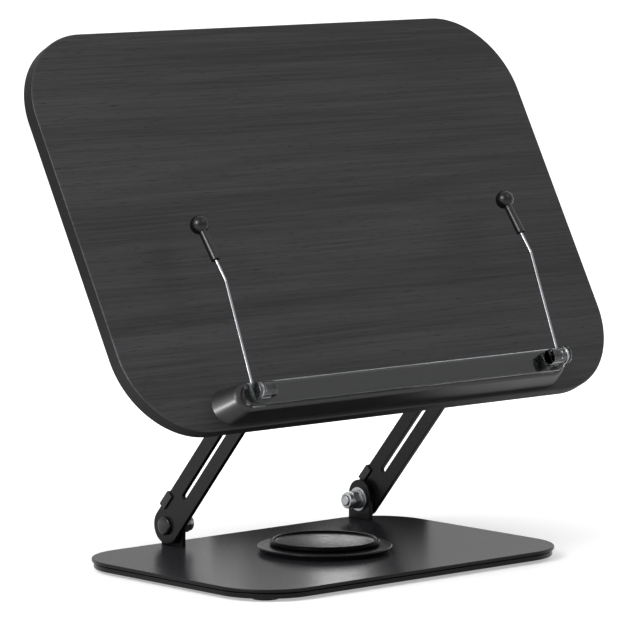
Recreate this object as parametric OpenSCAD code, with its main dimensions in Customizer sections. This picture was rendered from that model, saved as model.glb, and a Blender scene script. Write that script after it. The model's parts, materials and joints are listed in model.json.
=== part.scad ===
// Rotating, height adjustable book stand.
// Two stacked steel base plates turn on a thrust ball bearing. A pair of slotted
// arms on friction pivots carries a tilting board with a book ledge and two
// wire page clips.
// Origin: centre of the base on the table. +X right, +Y back, +Z up, board faces -Y.

/* [Base] */
// Width of the upper base plate
base_w = 252; // [246:1:300]
// Depth of the upper base plate
base_d = 174; // [150:1:220]
// Corner radius of the upper base plate
base_r = 36; // [15:1:50]
// Thickness of the upper base plate
upper_plate_t = 2; // [1.5:0.1:4]
// Thickness of the lower base plate
lower_plate_t = 3; // [2.5:0.1:6]
// Gap between the two plates
plate_gap = 0.5; // [0.3:0.1:1.5]
// How far the lower plate sits in from the edge of the upper one
plate_inset = 1.2; // [0.5:0.1:5]
// Diameter of a rubber foot
foot_d = 16; // [10:1:24]
// Height of a rubber foot
foot_h = 2; // [1:0.5:5]
// Distance of a foot's centre from the edges of the lower plate
foot_inset = 20; // [16:1:40]

/* [Swivel] */
// Diameter of the raised swivel disc
disc_d = 80; // [78:1:110]
// Wall of the swivel disc over its bearing
disc_wall = 1.3; // [1:0.1:2.5]
// Diameter of the cap on the swivel disc
cap_d = 65.5; // [62:0.5:70]
// Height of the cap
cap_h = 3.4; // [3.4:0.1:6]
// Wall of the cap
cap_wall = 1.2; // [0.8:0.1:1.5]
// Diameter of the circle that the balls run on
ball_circle_d = 46; // [44:0.5:48]
// Diameter of a bearing ball
ball_d = 3.2; // [3:0.1:3.6]
// Number of bearing balls
ball_count = 18; // [8:1:24]
// Width of a bearing race
race_w = 14; // [8:0.5:14]
// Thickness of a bearing race
race_t = 1.4; // [1:0.1:1.8]
// Diameter of the swivel bolt
swivel_bolt_d = 8; // [6:0.5:10]
// Diameter of the head of the swivel bolt
swivel_head_d = 18; // [14:0.5:24]
// Thickness of the head of the swivel bolt
swivel_head_h = 1.5; // [1:0.1:2]
// Outside diameter of the washer under the swivel nut
swivel_washer_d = 16; // [15:0.5:20]
// Width across the flats of the swivel nut
swivel_nut_af = 13; // [12:0.5:15]
// Height of the swivel nut
swivel_nut_h = 4; // [3:0.1:4]
// Diameter of the screws that hold the disc
disc_screw_d = 3; // [2.5:0.5:4]
// Number of screws that hold the disc
disc_screw_count = 4; // [3:1:8]

/* [Arms] */
// Distance of the arm pair's middle plane from the base centre
arm_shift = 22; // [-30:1:30]
// Distance from the middle plane to the inner face of an ear
ear_x = 74.2; // [60:0.1:90]
// Thickness of an ear
ear_t = 3; // [2:0.1:5]
// Width of an ear
ear_w = 19; // [18:0.5:22]
// Height of the middle of an ear's round top above the pivot
ear_rise = 2.5; // [0:0.1:3]
// Distance of the lower pivot from the rear edge of the upper plate
pivot_inset = 12; // [12:0.5:30]
// Height of the lower pivot above the upper plate
pivot_h = 12.5; // [12.5:0.1:20]
// Distance between an arm's two pivots
arm_len = 145; // [120:1:170]
// Width of an arm
arm_w = 22; // [20:0.5:24]
// Thickness of an arm
arm_t = 3; // [2:0.1:5]
// Lean of the arms from upright towards the front, in degrees
arm_lean = 41; // [30:1:48]
// Width of the slot along an arm
slot_w = 3.3; // [3:0.1:8]
// Distance of the slot's ends from the pivots
slot_inset = 24; // [20:1:45]
// Distance of the rubber bumper from the lower pivot
bumper_at = 7; // [7:0.1:15]
// Length of the bumper
bumper_len = 11; // [6:0.5:12]
// Depth of the bumper over the faces of the arm
bumper_depth = 4.3; // [3:0.1:5.2]
// Wall of the bumper beside the arm
bumper_wall = 1.3; // [1:0.1:1.4]
// Wall of the bumper over the edge of the arm
bumper_top = 1; // [0.6:0.1:1.2]

/* [Pivots] */
// Diameter of a pivot bolt
bolt_d = 6; // [4:0.5:8]
// Diameter of a pivot bolt's head
bolt_head_d = 11; // [10:0.5:14]
// Height of a pivot bolt's head
bolt_head_h = 2.4; // [1.5:0.1:4]
// Diameter of the friction washer between arm and ear
friction_d = 18; // [14:0.5:19]
// Thickness of the friction washer
friction_t = 1.6; // [1.5:0.1:2.5]
// Outside diameter of the flat washer
flat_washer_d = 14.8; // [11:0.1:18]
// Thickness of the flat washer
flat_washer_t = 1.2; // [0.8:0.1:2]
// Outside diameter of the spring washer
spring_washer_d = 11.8; // [10:0.1:14]
// Thickness of the spring washer
spring_washer_t = 1.8; // [1:0.1:3]
// Width across the flats of a lock nut
nut_af = 10; // [9:0.5:13]
// Height of the hexagon of a lock nut
nut_h = 5; // [3:0.1:6]
// Height of the round collar of a lock nut
collar_h = 2.8; // [1:0.1:3]

/* [Board] */
// Width of the board
board_w = 380; // [320:1:460]
// Height of the board along its face
board_h = 248.5; // [200:0.5:300]
// Thickness of the board
board_t = 9; // [7:0.1:15]
// Corner radius of the board
board_r = 51; // [20:1:60]
// Tilt of the board from level, in degrees
board_tilt = 61.3; // [50:0.1:70]
// Distance of the upper pivot from the bottom edge of the board
upper_pivot_b = 48; // [44:0.5:70]
// Distance of the upper pivot behind the back of the board
upper_pivot_off = 13.8; // [13.5:0.1:20]
// Width of a bracket plate
bracket_w = 40; // [34:0.5:50]
// Height of a bracket plate
bracket_h = 46; // [40:0.5:60]
// Thickness of a bracket plate
bracket_t = 2.5; // [2:0.1:3]
// Width of a bracket's ear at the pivot
bracket_ear_w = 21; // [18:0.5:22]
// Diameter of the wood screws
screw_d = 4; // [3:0.1:5]
// Diameter of the wood screw heads
screw_head_d = 7.4; // [6:0.1:9]
// Distance of the bracket screws from the edges of the bracket plate
screw_inset = 8; // [6:0.5:10]

/* [Ledge] */
// Length of the ledge rail where it meets the board
rail_len = 272; // [240:1:300]
// Height of the ledge rail where it meets the board
rail_h = 21.5; // [20:0.5:28]
// Distance of the rail from the bottom edge of the board
rail_b = 2.5; // [1:0.5:20]
// Depth of the ledge rail
rail_depth = 15.5; // [14:0.5:30]
// How far each side of the rail draws in towards its front
rail_draft = 2.5; // [1:0.1:2.8]
// How far each end of the rail draws in towards its front
rail_end_draft = 7; // [2:0.5:10]
// Wall of the ledge rail
rail_wall = 2.4; // [1.6:0.1:3]
// Number of screws that hold the rail
rail_screw_count = 4; // [2:1:6]
// Length of the clear bar on the front of the rail
bar_len = 253; // [220:1:255]
// Height of the clear bar
bar_h = 14; // [12:0.5:15]
// Thickness of the clear bar
bar_t = 3; // [2:0.1:5]
// Diameter of the pegs that hold the clear bar
peg_d = 4; // [3:0.5:6]

/* [Page clips] */
// Diameter of the clip wire
wire_d = 1.8; // [1.2:0.1:2.4]
// Distance of a clip wire from the middle of the board
clip_x = 120.5; // [100:0.5:121]
// Length of the straight leg from the loop to the bend
clip_leg = 65.5; // [50:0.5:90]
// Rise of the leg away from the board, in degrees
clip_rise = 7.1; // [6:0.1:15]
// Drop of the tip towards the board after the bend, in degrees
clip_drop = 8.2; // [0:0.1:10]
// Distance from the bend to the middle of the ball
clip_tip_len = 37.4; // [30:0.1:50]
// Distance from the bend to the sleeve
sleeve_at = 13.8; // [8:0.1:18]
// Diameter of the sleeve at its open end
sleeve_d = 5.2; // [4:0.1:7]
// Diameter of the ball on the tip
tip_ball_d = 11; // [8:0.1:14]
// Diameter of the stub that the wire loop turns on
stub_d = 6.3; // [5:0.1:8]
// Width of the clear block that carries the stub
block_w = 9; // [7:0.5:12]
// Length of the clear block along the bar
block_len = 10; // [6:0.5:14]
// Diameter of the clear cap that keeps the loop on its stub
keeper_d = 10.5; // [9:0.1:12]
// Thickness of that cap
keeper_t = 1.4; // [1:0.1:2.5]

/* [Fits] */
// Radial clearance of a pin that turns in its bore
run_clear = 0.05; // [0.02:0.01:0.1]
// Radial clearance of a fixed piece in its seat
seat_clear = 0.1; // [0.05:0.01:0.2]
// Side clearance of the wire loop on its stub
side_clear = 0.3; // [0.2:0.05:0.6]
// Clearance of the wire loop over the clear bar
loop_clear = 0.6; // [0.5:0.05:1.5]

/* [Hidden] */
$fn = 96;
hull_fn = 32;
small_fn = 48;
eps = 0.01;
// How far a cut runs past the piece that it goes through
over = 1;

// Heights of the base stack
lower_z = foot_h;
lower_top = lower_z + lower_plate_t;
upper_z = lower_top + plate_gap;
upper_top = upper_z + upper_plate_t;

// Thrust bearing, from the lower plate up to the ceiling of the disc
ball_r = ball_d / 2;
groove_r = ball_r + run_clear;
groove_depth = 0.5;
ball_z = lower_top + race_t - groove_depth + groove_r;
upper_race_z = ball_z + groove_r - groove_depth;
ceiling_z = upper_race_z + race_t;
disc_top = ceiling_z + disc_wall;
race_in = ball_circle_d / 2 - race_w / 2;
race_out = ball_circle_d / 2 + race_w / 2;
// Cage round the balls
cage_t = 1;
cage_rim = 2.2;

// Well in the middle of the disc for the washer and the nut
well_gap = 0.7;
well_floor = lower_top + well_gap;
well_wall = 1.3;
well_out = race_in - well_gap;
well_in = well_out - well_wall;
swivel_washer_t = 1;
swivel_nut_z = well_floor + disc_wall + swivel_washer_t;
swivel_end = swivel_nut_z + swivel_nut_h;
plate_hole_gap = 2;
plate_hole_r = race_out + plate_hole_gap;
disc_screw_r = (plate_hole_r + disc_d / 2) / 2;
disc_screw_head_h = 1.2;
disc_screw_turn = 45;
disc_screw_cover = 0.8;
disc_screw_len = disc_top - upper_z - disc_screw_cover;
cap_spigot_t = 1.1;
cap_spigot_h = 2;
cap_rim_r = 1.7;

// Lower pivot and the frame of the arms
lower_pivot = [0, base_d / 2 - pivot_inset, upper_top + pivot_h];
arm_turn = 90 + arm_lean;
upper_pivot = lower_pivot + arm_len * [0, cos(arm_turn), sin(arm_turn)];
tab_w = 6;

// Places along X from the middle plane of the arms, on the right side
friction_x = ear_x + ear_t;
arm_x = friction_x + friction_t;
head_x = arm_x + arm_t;
flat_washer_x = ear_x - flat_washer_t;
spring_washer_x = flat_washer_x - spring_washer_t;
nut_x = spring_washer_x - nut_h;
collar_x = nut_x - collar_h;
bolt_proud = 0.8;
bolt_end_x = collar_x - bolt_proud;
collar_step = 0.1;
collar_d = nut_af - 2 * collar_step;
bolt_crown_h = 1;
bolt_crown_step = 1.6;

// Board frame: x along the board, y up its face, z off its front face
pivot_in_board = [0, upper_pivot_b, -board_t - upper_pivot_off];
screw_cover = 2;
screw_len = board_t - screw_cover;
screw_head_h = 2.2;
screw_crown_step = 0.75;

// Ledge, drawn in towards its front
rail_mid = rail_b + rail_h / 2;
rail_front_len = rail_len - 2 * rail_end_draft;
rail_front_h = rail_h - 2 * rail_draft;
rail_boss_d = screw_d + 2 * rail_wall;
rail_screw_span = bar_len - 4 * block_len;
rail_screw_bite = 7;
rail_hole_spare = 1;
bar_top = rail_depth + bar_t;
peg_x = rail_screw_span / 4;

// Page clip, in a frame at its pivot with y along the board and z off it
loop_r = stub_d / 2 + run_clear + wire_d / 2;
clip_pivot_h = bar_top + loop_r + wire_d / 2 + loop_clear;
bend_swell = 0.05;
bend_d = wire_d + 2 * bend_swell;
stub_from = clip_x - wire_d / 2 - side_clear;
stub_to = clip_x + wire_d / 2 + side_clear;
keeper_pin_d = stub_d / 2;
keeper_pin_len = 5;
sleeve_taper = 0.3;
sleeve_neck_d = sleeve_d - 2 * sleeve_taper;
sleeve_bite = 15;

// Shared shapes

module rounded_rect(w, d, r) {
    square([w - 2 * r, d], center = true);
    square([w, d - 2 * r], center = true);
    for (sx = [-1, 1], sy = [-1, 1])
        translate([sx * (w / 2 - r), sy * (d / 2 - r)]) circle(r);
}

// Bar with full round ends, centred
module stadium(len, h) {
    square([len - h, h], center = true);
    for (s = [-1, 1]) translate([s * (len - h) / 2, 0]) circle(h / 2);
}

// Cylinder along +X from x = from to x = to
module x_rod(d, from, to) {
    translate([from, 0, 0]) rotate([0, 90, 0]) cylinder(d = d, h = to - from);
}

module x_ring(d_out, d_in, from, to) {
    difference() {
        x_rod(d_out, from, to);
        x_rod(d_in, from - over, to + over);
    }
}

// A flat outline in the Y-Z plane, given thickness along +X
module x_sheet(from, t) {
    translate([from, 0, 0]) rotate([90, 0, 90]) linear_extrude(t) children();
}

// Places a right-hand piece on one side of the arm pair: side is 1 or -1
module arm_side(side) {
    translate([arm_shift, 0, 0]) on_side(side) children();
}

// Mirrors a right-hand piece to the left when side is -1
module on_side(side) {
    if (side > 0) children();
    else mirror([1, 0, 0]) children();
}

module at_lower_pivot() {
    translate(lower_pivot) children();
}

module at_upper_pivot() {
    translate(upper_pivot) children();
}

module on_board() {
    translate(upper_pivot) rotate([board_tilt, 0, 0]) translate(-pivot_in_board) children();
}

// Base

module rubber_feet() {
    dx = base_w / 2 - plate_inset - foot_inset;
    dy = base_d / 2 - plate_inset - foot_inset;
    color("#151515")
        for (sx = [-1, 1], sy = [-1, 1])
            translate([sx * dx, sy * dy, 0]) cylinder(d = foot_d, h = foot_h);
}

module lower_plate() {
    color("#26262a") difference() {
        translate([0, 0, lower_z])
            linear_extrude(lower_plate_t)
                rounded_rect(base_w - 2 * plate_inset, base_d - 2 * plate_inset, base_r - plate_inset);
        translate([0, 0, lower_z - over])
            cylinder(r = swivel_bolt_d / 2 + seat_clear, h = lower_plate_t + 2 * over);
        translate([0, 0, lower_z - over])
            cylinder(r = swivel_head_d / 2 + seat_clear, h = swivel_head_h + over);
    }
}

module swivel_bolt() {
    color("#a9abad") {
        translate([0, 0, lower_z]) cylinder(d = swivel_head_d, h = swivel_head_h);
        translate([0, 0, lower_z]) cylinder(d = swivel_bolt_d, h = swivel_end - lower_z);
    }
}

module swivel_washer() {
    color("#b4b6b8") translate([0, 0, well_floor + disc_wall]) difference() {
        cylinder(d = swivel_washer_d, h = swivel_washer_t);
        translate([0, 0, -over])
            cylinder(r = swivel_bolt_d / 2 + seat_clear, h = swivel_washer_t + 2 * over);
    }
}

module swivel_nut() {
    color("#b0b2b4") translate([0, 0, swivel_nut_z]) difference() {
        cylinder(d = swivel_nut_af / cos(30), h = swivel_nut_h, $fn = 6);
        translate([0, 0, -over])
            cylinder(r = swivel_bolt_d / 2 + seat_clear, h = swivel_nut_h + 2 * over);
    }
}

// Washer with a ball groove; z is its underside
module race(z) {
    difference() {
        rotate_extrude() translate([race_in, z]) square([race_w, race_t]);
        rotate_extrude() translate([ball_circle_d / 2, ball_z]) circle(groove_r, $fn = small_fn);
    }
}

module bearing_lower_race() {
    color("#c2c4c6") race(lower_top);
}

module bearing_upper_race() {
    color("#c2c4c6") race(upper_race_z);
}

module ball_ring() {
    for (i = [0 : ball_count - 1])
        rotate(i * 360 / ball_count) translate([ball_circle_d / 2, 0, ball_z]) children();
}

module bearing_balls() {
    color("#d4d6d8") ball_ring() sphere(r = ball_r, $fn = small_fn);
}

module ball_cage() {
    color("#8d7a45") difference() {
        translate([0, 0, ball_z - cage_t / 2]) difference() {
            cylinder(r = ball_circle_d / 2 + ball_r + cage_rim, h = cage_t);
            translate([0, 0, -over])
                cylinder(r = ball_circle_d / 2 - ball_r - cage_rim, h = cage_t + 2 * over);
        }
        ball_ring() cylinder(r = ball_r + seat_clear, h = cage_t + 2 * over, center = true);
    }
}

module disc_screw_ring() {
    for (i = [0 : disc_screw_count - 1])
        rotate(disc_screw_turn + i * 360 / disc_screw_count)
            translate([disc_screw_r, 0, upper_z]) children();
}

// Flat headed screw pointing up, its head flush with z = 0
module flat_screw(d, head_h, len, grow = 0) {
    cylinder(r1 = d + grow, r2 = d / 2 + grow, h = head_h);
    cylinder(r = d / 2 + grow, h = len);
}

// Outline of one ear about its pivot, down to the upper plate
module ear_outline() {
    translate([0, ear_rise]) circle(d = ear_w);
    translate([-ear_w / 2, -pivot_h]) square([ear_w, pivot_h + ear_rise]);
}

// Tabs of an ear that pass through the upper plate
module ear_tabs(grow = 0, past = 0) {
    for (s = [-1, 1])
        translate([s * ear_w / 4 - tab_w / 2 - grow, -pivot_h - upper_plate_t - past])
            square([tab_w + 2 * grow, upper_plate_t + 2 * past]);
}

module upper_plate() {
    color("#2b2b30") difference() {
        translate([0, 0, upper_z]) linear_extrude(upper_plate_t) rounded_rect(base_w, base_d, base_r);
        translate([0, 0, upper_z - over]) cylinder(r = plate_hole_r, h = upper_plate_t + 2 * over);
        disc_screw_ring() translate([0, 0, -eps])
            flat_screw(disc_screw_d, disc_screw_head_h, upper_plate_t + over, seat_clear);
        for (side = [-1, 1]) arm_side(side) at_lower_pivot()
            x_sheet(ear_x - seat_clear, ear_t + 2 * seat_clear) ear_tabs(seat_clear, over);
    }
}

module swivel_disc() {
    color("#1c1c1f") difference() {
        rotate_extrude() {
            // rim that sits on the upper plate
            translate([race_out + seat_clear, upper_top])
                square([disc_d / 2 - race_out - seat_clear, disc_top - upper_top]);
            // web over the bearing
            translate([well_in, ceiling_z]) square([disc_d / 2 - well_in, disc_wall]);
            // wall and floor of the well
            translate([well_in, well_floor]) square([well_wall, disc_top - well_floor]);
            translate([swivel_bolt_d / 2 + run_clear, well_floor])
                square([well_out - swivel_bolt_d / 2 - run_clear, disc_wall]);
        }
        disc_screw_ring() cylinder(r = disc_screw_d / 2 + seat_clear, h = disc_screw_len + seat_clear);
    }
}

module disc_screws() {
    color("#9fa1a3") disc_screw_ring() flat_screw(disc_screw_d, disc_screw_head_h, disc_screw_len);
}

module swivel_cap() {
    color("#101012") translate([0, 0, disc_top]) rotate_extrude() {
        // rolled rim and its skirt
        translate([cap_d / 2 - cap_rim_r, cap_h - cap_rim_r]) circle(cap_rim_r, $fn = small_fn);
        translate([cap_d / 2 - 2 * cap_rim_r, 0]) square([2 * cap_rim_r, cap_h - cap_rim_r]);
        // dished top, lower than the rim
        translate([0, cap_h - cap_rim_r - cap_wall / 2]) square([cap_d / 2 - cap_rim_r, cap_wall]);
        // spigot that snaps into the well
        translate([well_in - seat_clear - cap_spigot_t, -cap_spigot_h])
            square([cap_spigot_t, cap_spigot_h + cap_h - cap_rim_r]);
    }
}

// Ears, arms and bumpers

module ear(side) {
    color("#2b2b30") arm_side(side) at_lower_pivot() difference() {
        x_sheet(ear_x, ear_t) {
            ear_outline();
            ear_tabs();
        }
        x_rod(bolt_d + 2 * run_clear, ear_x - over, ear_x + ear_t + over);
    }
}

module left_ear() {
    ear(-1);
}

module right_ear() {
    ear(1);
}

// Outline of an arm with its lower pivot at the origin, running along +X
module arm_outline() {
    difference() {
        translate([arm_len / 2, 0]) stadium(arm_len + arm_w, arm_w);
        translate([arm_len / 2, 0]) stadium(arm_len - 2 * slot_inset, slot_w);
        for (at = [0, arm_len]) translate([at, 0]) circle(bolt_d / 2 + run_clear);
    }
}

module arm(side) {
    color("#2d2d32") arm_side(side) at_lower_pivot() rotate([arm_turn, 0, 0])
        x_sheet(arm_x, arm_t) arm_outline();
}

module left_arm() {
    arm(-1);
}

module right_arm() {
    arm(1);
}

// Rubber channel over the rear edge of an arm
module bumper(side) {
    edge = -arm_w / 2;
    color("#141414") arm_side(side) at_lower_pivot() rotate([arm_turn, 0, 0]) difference() {
        translate([arm_x - bumper_wall, bumper_at, edge - bumper_top])
            cube([arm_t + 2 * bumper_wall, bumper_len, bumper_depth + bumper_top]);
        translate([arm_x, bumper_at - over, edge])
            cube([arm_t, bumper_len + 2 * over, bumper_depth + over]);
    }
}

module left_bumper() {
    bumper(-1);
}

module right_bumper() {
    bumper(1);
}

// Pivot hardware, the same at both ends of an arm

module pivot_bolt() {
    rim_x = head_x + bolt_head_h - bolt_crown_h;
    x_rod(bolt_d, bolt_end_x, head_x);
    x_rod(bolt_head_d, head_x, rim_x);
    translate([rim_x, 0, 0]) rotate([0, 90, 0])
        cylinder(d1 = bolt_head_d, d2 = bolt_head_d - 2 * bolt_crown_step, h = bolt_crown_h);
}

module friction_washer() {
    x_ring(friction_d, bolt_d + 2 * run_clear, friction_x, friction_x + friction_t);
}

module flat_washer() {
    x_ring(flat_washer_d, bolt_d + 2 * seat_clear, flat_washer_x, flat_washer_x + flat_washer_t);
}

module spring_washer() {
    x_ring(spring_washer_d, bolt_d + 2 * seat_clear, spring_washer_x, spring_washer_x + spring_washer_t);
}

module lock_nut() {
    difference() {
        union() {
            translate([nut_x, 0, 0]) rotate([0, 90, 0])
                cylinder(d = nut_af / cos(30), h = nut_h, $fn = 6);
            x_rod(collar_d, collar_x, nut_x);
        }
        x_rod(bolt_d + 2 * seat_clear, collar_x - over, nut_x + nut_h + over);
    }
}

module both_lower() {
    for (side = [-1, 1]) arm_side(side) at_lower_pivot() children();
}

module both_upper() {
    for (side = [-1, 1]) arm_side(side) at_upper_pivot() children();
}

module lower_pivot_bolts() {
    color("#3a3a3d") both_lower() pivot_bolt();
}

module lower_friction_washers() {
    color("#1b1b1b") both_lower() friction_washer();
}

module lower_flat_washers() {
    color("#b9bbbd") both_lower() flat_washer();
}

module lower_spring_washers() {
    color("#a4a6a8") both_lower() spring_washer();
}

module lower_lock_nuts() {
    color("#c0c2c4") both_lower() lock_nut();
}

module upper_pivot_bolts() {
    color("#3a3a3d") both_upper() pivot_bolt();
}

module upper_friction_washers() {
    color("#1b1b1b") both_upper() friction_washer();
}

module upper_flat_washers() {
    color("#b9bbbd") both_upper() flat_washer();
}

module upper_spring_washers() {
    color("#a4a6a8") both_upper() spring_washer();
}

module upper_lock_nuts() {
    color("#c0c2c4") both_upper() lock_nut();
}

// Board and brackets

// Places of one bracket's screws, on the back of the board
module bracket_screw_places() {
    for (x = [ear_x + ear_t - bracket_w + screw_inset, ear_x - 2 * screw_inset])
        for (s = [-1, 1])
            translate([x, upper_pivot_b + s * (bracket_h / 2 - screw_inset), -board_t]) children();
}

// Places of the rail screws along the rail
module rail_screw_places() {
    for (i = [0 : rail_screw_count - 1])
        translate([rail_screw_span * (i / (rail_screw_count - 1) - 0.5), rail_mid, -board_t]) children();
}

module book_board() {
    color("#2a2a2c") on_board() difference() {
        translate([0, board_h / 2, -board_t])
            linear_extrude(board_t) rounded_rect(board_w, board_h, board_r);
        for (side = [-1, 1]) arm_side(side) bracket_screw_places() translate([0, 0, -over])
            cylinder(r = screw_d / 2 + seat_clear, h = screw_len + over);
        rail_screw_places() translate([0, 0, -eps])
            flat_screw(screw_d, screw_head_h, board_t + over, seat_clear);
    }
}

// Bent steel bracket: a plate on the back of the board and an ear for the pivot
module bracket(side) {
    color("#2d2d32") on_board() arm_side(side) difference() {
        union() {
            translate([ear_x + ear_t - bracket_w, upper_pivot_b - bracket_h / 2, -board_t - bracket_t])
                cube([bracket_w, bracket_h, bracket_t]);
            translate([0, upper_pivot_b, -board_t - upper_pivot_off]) x_sheet(ear_x, ear_t) {
                circle(d = bracket_ear_w);
                polygon([
                    [-bracket_ear_w / 2, 0], [bracket_ear_w / 2, 0],
                    [bracket_h / 2, upper_pivot_off], [-bracket_h / 2, upper_pivot_off]
                ]);
            }
        }
        translate(pivot_in_board) x_rod(bolt_d + 2 * run_clear, ear_x - over, ear_x + ear_t + over);
        bracket_screw_places() translate([0, 0, -bracket_t - over])
            cylinder(r = screw_d / 2 + seat_clear, h = bracket_t + 2 * over);
    }
}

module left_bracket() {
    bracket(-1);
}

module right_bracket() {
    bracket(1);
}

module bracket_screws() {
    color("#3a3a3d") on_board()
        for (side = [-1, 1]) arm_side(side) bracket_screw_places() translate([0, 0, -bracket_t]) {
            cylinder(d = screw_d, h = bracket_t + screw_len);
            translate([0, 0, -screw_head_h])
                cylinder(d1 = screw_head_d - 2 * screw_crown_step, d2 = screw_head_d, h = screw_head_h);
        }
}

// Ledge

// Drafted block with round ends; in is the distance inside the rail's outer skin
module rail_block(in, depth) {
    hull() {
        translate([0, rail_mid, 0]) linear_extrude(eps)
            stadium(rail_len - 2 * in, rail_h - 2 * in, $fn = hull_fn);
        translate([0, rail_mid, depth - eps]) linear_extrude(eps)
            stadium(rail_front_len - 2 * in, rail_front_h - 2 * in, $fn = hull_fn);
    }
}

// Places of the pegs on the back of the clear bar
module peg_places() {
    for (s = [-1, 1]) translate([s * peg_x, rail_mid, rail_depth]) children();
}

module ledge_rail() {
    color("#1d1d1f") on_board() difference() {
        union() {
            difference() {
                rail_block(0, rail_depth);
                translate([0, 0, -eps]) rail_block(rail_wall, rail_depth - rail_wall);
            }
            rail_screw_places() translate([0, 0, board_t])
                cylinder(d = rail_boss_d, h = rail_depth - rail_wall / 2);
        }
        rail_screw_places() translate([0, 0, board_t - over])
            cylinder(r = screw_d / 2 + seat_clear, h = rail_screw_bite + rail_hole_spare + over);
        peg_places() translate([0, 0, -rail_wall - over])
            cylinder(r = peg_d / 2 + seat_clear, h = rail_wall + 2 * over);
    }
}

module rail_screws() {
    color("#3a3a3d") on_board() rail_screw_places()
        flat_screw(screw_d, screw_head_h, board_t + rail_screw_bite);
}

// Places a right-hand clip piece at its pivot, on side 1 or -1 of the board
module at_clip(side) {
    on_board() translate([0, rail_mid, clip_pivot_h]) on_side(side) children();
}

module clear_bar() {
    color("#d8e0e4", 0.4) {
        on_board() translate([0, rail_mid, rail_depth]) linear_extrude(bar_t) stadium(bar_len, bar_h);
        on_board() peg_places() translate([0, 0, -rail_wall]) cylinder(d = peg_d, h = rail_wall + eps);
        for (side = [-1, 1]) at_clip(side) difference() {
            union() {
                x_rod(block_w, stub_from - block_len, stub_from);
                translate([stub_from - block_len, -block_w / 2, bar_top - clip_pivot_h - eps])
                    cube([block_len, block_w, clip_pivot_h - bar_top]);
                x_rod(stub_d, stub_from - over, stub_to);
            }
            x_rod(keeper_pin_d + 2 * seat_clear, stub_to - keeper_pin_len - seat_clear, stub_to + over);
        }
    }
}

module clip_keepers() {
    color("#d8e0e4", 0.4) for (side = [-1, 1]) at_clip(side) {
        x_rod(keeper_d, stub_to, stub_to + keeper_t);
        x_rod(keeper_pin_d, stub_to - keeper_pin_len, stub_to + keeper_t / 2);
    }
}

// Page clips

// Frame of the wire's leg: origin on the loop, y along the leg
module along_leg() {
    translate([clip_x, 0, 0]) rotate([clip_rise, 0, 0]) translate([0, 0, -loop_r]) children();
}

// Frame of the wire's tip: origin at the bend, y along the tip
module along_tip() {
    along_leg() translate([0, clip_leg, 0]) rotate([-clip_rise - clip_drop, 0, 0]) children();
}

module y_rod(d, from, to) {
    translate([0, from, 0]) rotate([-90, 0, 0]) cylinder(d = d, h = to - from);
}

module clip_wire(side) {
    color("#cfd2d4") at_clip(side) {
        along_leg() {
            y_rod(wire_d, 0, clip_leg);
            for (at = [0, clip_leg]) translate([0, at, 0]) sphere(d = bend_d);
        }
        along_tip() y_rod(wire_d, 0, sleeve_at + sleeve_bite);
        // eye that the wire is wound into, round the stub
        translate([clip_x, 0, 0]) rotate([0, 90, 0])
            rotate_extrude() translate([loop_r, 0]) circle(d = wire_d, $fn = small_fn);
    }
}

module left_clip_wire() {
    clip_wire(-1);
}

module right_clip_wire() {
    clip_wire(1);
}

// Moulded tip: a sleeve on the wire that ends in a ball
module clip_tip(side) {
    color("#121213") at_clip(side) along_tip() difference() {
        union() {
            translate([0, sleeve_at, 0]) rotate([-90, 0, 0])
                cylinder(d1 = sleeve_d, d2 = sleeve_neck_d, h = clip_tip_len - sleeve_at);
            translate([0, clip_tip_len, 0]) sphere(d = tip_ball_d);
        }
        y_rod(wire_d + 2 * seat_clear, sleeve_at - over, sleeve_at + sleeve_bite + seat_clear);
    }
}

module left_clip_tip() {
    clip_tip(-1);
}

module right_clip_tip() {
    clip_tip(1);
}

rubber_feet();
lower_plate();
swivel_bolt();
swivel_washer();
swivel_nut();
bearing_lower_race();
bearing_balls();
ball_cage();
bearing_upper_race();
upper_plate();
swivel_disc();
disc_screws();
swivel_cap();
left_ear();
right_ear();
left_arm();
right_arm();
left_bumper();
right_bumper();
lower_pivot_bolts();
lower_friction_washers();
lower_flat_washers();
lower_spring_washers();
lower_lock_nuts();
upper_pivot_bolts();
upper_friction_washers();
upper_flat_washers();
upper_spring_washers();
upper_lock_nuts();
book_board();
left_bracket();
right_bracket();
bracket_screws();
ledge_rail();
rail_screws();
clear_bar();
clip_keepers();
left_clip_wire();
right_clip_wire();
left_clip_tip();
right_clip_tip();
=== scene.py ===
import json
import math
import bpy
from mathutils import Matrix, Vector


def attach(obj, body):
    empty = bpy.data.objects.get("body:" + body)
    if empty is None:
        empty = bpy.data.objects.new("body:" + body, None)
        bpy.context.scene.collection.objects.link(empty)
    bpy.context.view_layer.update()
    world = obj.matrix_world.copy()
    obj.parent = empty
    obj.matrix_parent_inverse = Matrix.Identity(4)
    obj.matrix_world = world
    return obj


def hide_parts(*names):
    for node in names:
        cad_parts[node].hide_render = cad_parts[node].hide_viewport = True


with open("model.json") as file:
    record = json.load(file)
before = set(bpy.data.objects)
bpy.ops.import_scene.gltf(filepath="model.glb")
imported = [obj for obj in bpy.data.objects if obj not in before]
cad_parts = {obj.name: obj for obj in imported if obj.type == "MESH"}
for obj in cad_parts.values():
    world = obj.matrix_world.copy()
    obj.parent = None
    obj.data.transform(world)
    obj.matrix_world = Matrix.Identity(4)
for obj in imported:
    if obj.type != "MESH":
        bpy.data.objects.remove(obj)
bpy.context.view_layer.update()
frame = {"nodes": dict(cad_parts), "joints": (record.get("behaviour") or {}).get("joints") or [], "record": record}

mm = 0.001
record = frame["record"]
bodyOf = {node: body for body, nodes in record["behaviour"]["bodies"].items() for node in nodes}
jointAt = {joint["name"]: Vector(joint["pos_m"]) for joint in frame["joints"]}
scene = bpy.context.scene
scene.view_settings.view_transform = "Standard"


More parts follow.
